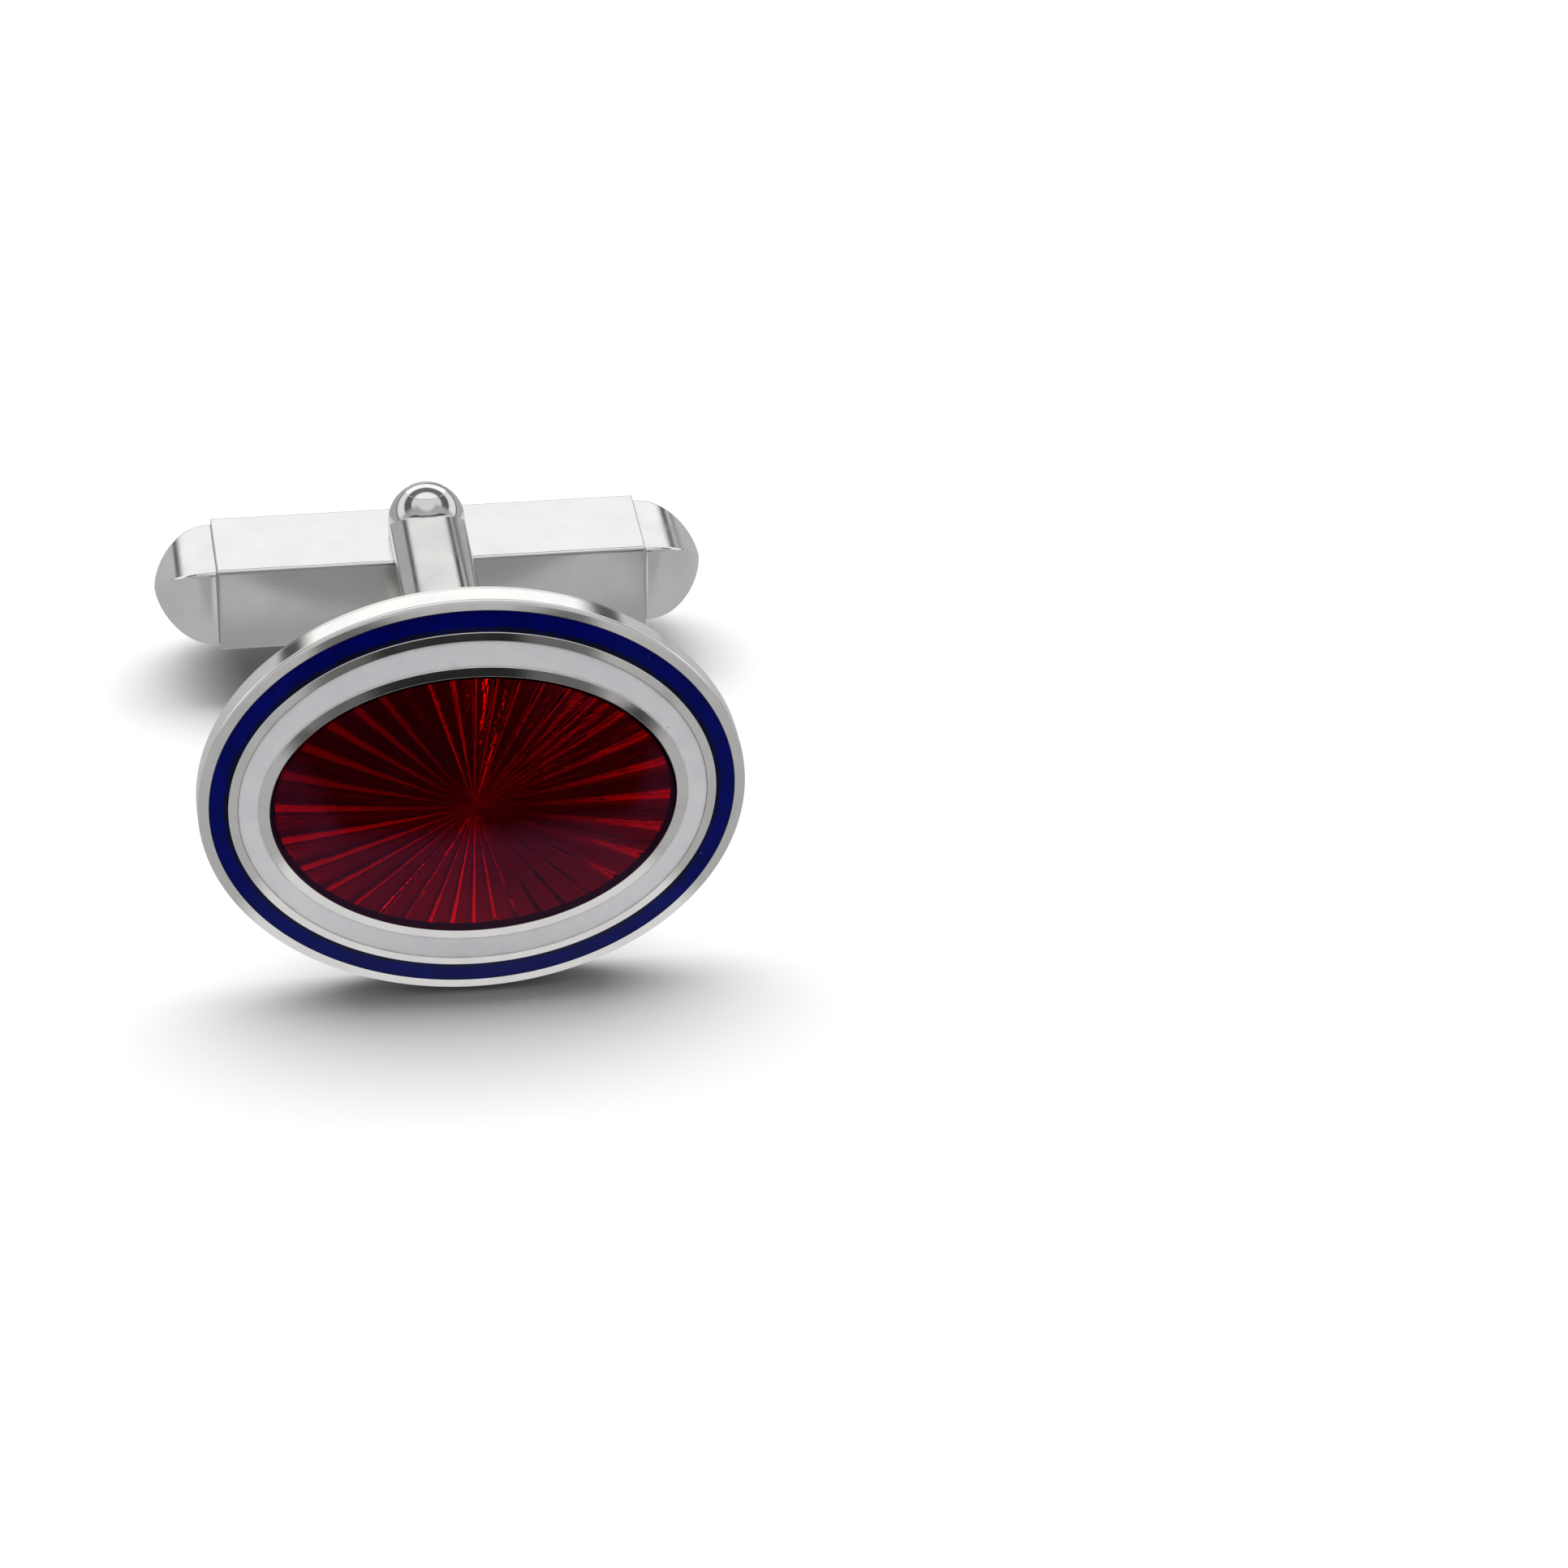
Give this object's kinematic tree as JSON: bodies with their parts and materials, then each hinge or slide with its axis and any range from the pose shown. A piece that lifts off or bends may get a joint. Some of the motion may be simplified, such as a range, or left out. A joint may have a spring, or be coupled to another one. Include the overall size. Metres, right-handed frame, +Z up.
{
  "type": "cufflink",
  "caption": "Swivel-bar cufflink: domed oval silver face with blue and white enamel rings round a clear red sunburst, stirrup post and turning bar with domed ends.",
  "frame": {"origin": "on the table under the middle of the link, which leans back on its rim and the lower end of its pin", "axes": "+Z up, +X along the bar and the oval's long axis, -Y towards the viewer of the face"},
  "size_m": [0.019, 0.0202, 0.0142],
  "materials": {
    "polished_silver": "polished silver",
    "brushed_silver": "lightly brushed silver",
    "blue_enamel": "dark translucent vitreous enamel",
    "white_enamel": "opaque glossy vitreous enamel",
    "red_enamel": "clear red vitreous enamel over cut silver",
    "spring_steel": "bright spring strip"
  },
  "bodies": {
    "face": {"face_plate": "polished_silver", "blue_enamel": "blue_enamel", "white_enamel": "white_enamel", "red_enamel": "red_enamel", "back_plate": "polished_silver", "stirrup": "polished_silver", "pivot_pin": "polished_silver"},
    "bar": {"bar_tube": "brushed_silver", "left_end_cap": "polished_silver", "right_end_cap": "polished_silver", "click_springs": "spring_steel"}
  },
  "joints": [
    {"name": "bar_swivel", "type": "hinge", "parent": "face", "child": "bar", "pos_m": [0, 0.00768, 0.0033], "axis": [0, 0.237, 0.9715], "range_deg": [-90, 90], "deforming": ["click_springs"]}
  ]
}
